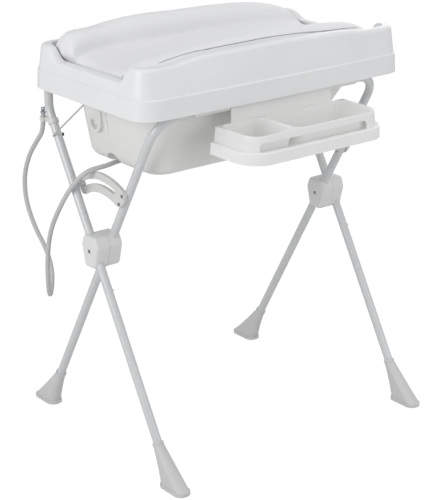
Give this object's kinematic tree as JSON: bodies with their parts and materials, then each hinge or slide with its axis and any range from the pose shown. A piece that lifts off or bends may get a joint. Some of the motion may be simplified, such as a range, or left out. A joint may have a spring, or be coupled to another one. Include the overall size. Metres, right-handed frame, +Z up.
{
  "type": "changing table with bathtub",
  "caption": "Folding baby bath stand on crossed tube legs, with a padded changing top hinged over a deep tub, a hanging shelf with towel rail and a drain hose.",
  "frame": {"origin": "the middle of the footprint, on the floor", "axes": "+X along the table to the user's right, +Y to the rear, away from the shelf, +Z up"},
  "size_m": [0.8727, 0.755, 1.0747],
  "materials": {
    "tube": "pale grey-white glossy powder coat",
    "foot": "white moulded plastic",
    "hub_cover": "white moulded plastic",
    "lock_plate": "white moulded plastic",
    "slot_pin": "white moulded plastic",
    "post_cap": "white moulded plastic",
    "button": "polished steel",
    "bolt": "dark zinc",
    "pin": "zinc",
    "bracket": "white moulded plastic",
    "tub": "white moulded plastic, satin gloss",
    "drain": "grey plastic",
    "strainer": "polished",
    "hose": "grey flexible hose",
    "clip": "white moulded plastic",
    "stopper": "grey rubber",
    "tray": "cool white moulded plastic, satin gloss",
    "pad": "white coated cloth over foam",
    "wire": "bright wire",
    "nut": "black cap nut",
    "shelf": "white moulded plastic, satin gloss"
  },
  "bodies": {
    "rear_frame": {"drain_hose": "hose", "front_foot_left": "foot", "front_foot_right": "foot", "front_leg_left": "tube", "front_leg_right": "tube", "hose_clip": "clip", "outer_hub_cover_left": "hub_cover", "outer_hub_cover_right": "hub_cover", "pivot_bolt_left": "bolt", "pivot_bolt_right": "bolt", "post_cap_left": "post_cap", "post_cap_right": "post_cap", "rear_post_left": "tube", "rear_post_right": "tube", "slot_pin_left": "slot_pin", "slot_pin_right": "slot_pin"},
    "front_frame": {"front_frame_tube": "tube", "inner_hub_cover_left": "hub_cover", "inner_hub_cover_right": "hub_cover", "lock_plate_left": "lock_plate", "lock_plate_right": "lock_plate", "lock_plate_screws_left": "bolt", "lock_plate_screws_right": "bolt", "rear_foot_left": "foot", "rear_foot_right": "foot"},
    "tub": {"bath_shelf": "shelf", "bathtub": "tub", "bracket_screws_left": "bolt", "bracket_screws_right": "bolt", "drain_spout": "drain", "drain_strainer": "strainer", "hinge_bracket_left": "bracket", "hinge_bracket_right": "bracket", "hinge_pin_left": "pin", "hinge_pin_right": "pin", "tub_rim": "tub"},
    "changer": {"changer_tray": "tray", "changer_pad": "pad"},
    "stay": {"stay_wire": "wire", "stay_nut": "nut"},
    "button_left": {"spring_button_left": "button"},
    "button_right": {"spring_button_right": "button"},
    "stopper": {"hose_stopper": "stopper"}
  },
  "joints": [
    {"name": "frame_fold", "type": "hinge", "parent": "rear_frame", "child": "front_frame", "pos_m": [0, 0.0165, 0.54], "axis": [-1, 0, 0], "range_deg": [0, 48], "deforming": ["drain_hose"]},
    {"name": "tub_tilt", "type": "hinge", "parent": "front_frame", "child": "tub", "pos_m": [0, -0.19644, 0.917], "axis": [1, 0, 0], "range_deg": [0, 93], "deforming": ["drain_hose"]},
    {"name": "changer_flip", "type": "hinge", "parent": "tub", "child": "changer", "pos_m": [0, 0.2415, 0.938], "axis": [-1, 0, 0], "range_deg": [0, 88]},
    {"name": "stay_swing", "type": "hinge", "parent": "rear_frame", "child": "stay", "pos_m": [-0.4, 0.16903, 0.804], "axis": [1, 0, 0], "range_deg": [0, 70]},
    {"name": "leg_button_left", "type": "slide", "parent": "rear_frame", "child": "button_left", "axis": [-1, 0, 0], "range_m": [0, 0.0045], "stiffness_N_per_m": 400, "springref_m": -0.001},
    {"name": "leg_button_right", "type": "slide", "parent": "rear_frame", "child": "button_right", "axis": [-1, 0, 0], "range_m": [0, 0.0045], "stiffness_N_per_m": 400, "springref_m": -0.001},
    {"name": "stopper_pull", "type": "slide", "parent": "rear_frame", "child": "stopper", "axis": [0, 0, 1], "range_m": [0, 0.02]}
  ],
  "couplings": [
    {"joint": "tub_tilt", "follows": "frame_fold", "ratio": 1.9375}
  ]
}
